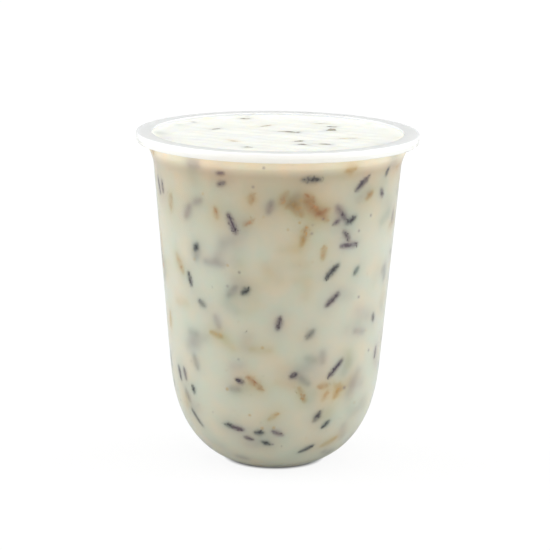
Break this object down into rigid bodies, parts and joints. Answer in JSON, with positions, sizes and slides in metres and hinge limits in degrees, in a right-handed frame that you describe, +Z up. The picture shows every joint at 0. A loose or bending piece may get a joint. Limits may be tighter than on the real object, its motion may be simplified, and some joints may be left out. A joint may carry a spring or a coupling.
{
  "type": "yogurt cup",
  "caption": "Clear round-bottomed drinks cup with a sealing rim, filled almost to the top with yogurt that holds black rice and fruit shreds.",
  "frame": {"origin": "middle of the cup's foot, on the surface that it stands on", "axes": "+Z up along the cup's axis; +Y points away from the picture's camera and +X to its right"},
  "size_m": [0.095, 0.095, 0.113],
  "materials": {
    "clear_plastic": "clear moulded polypropylene, very slightly hazy",
    "yogurt": "smooth wet cream with dark rice grains and gold fruit in it"
  },
  "bodies": {
    "root": {"cup": "clear_plastic", "yogurt": "yogurt"}
  },
  "joints": []
}
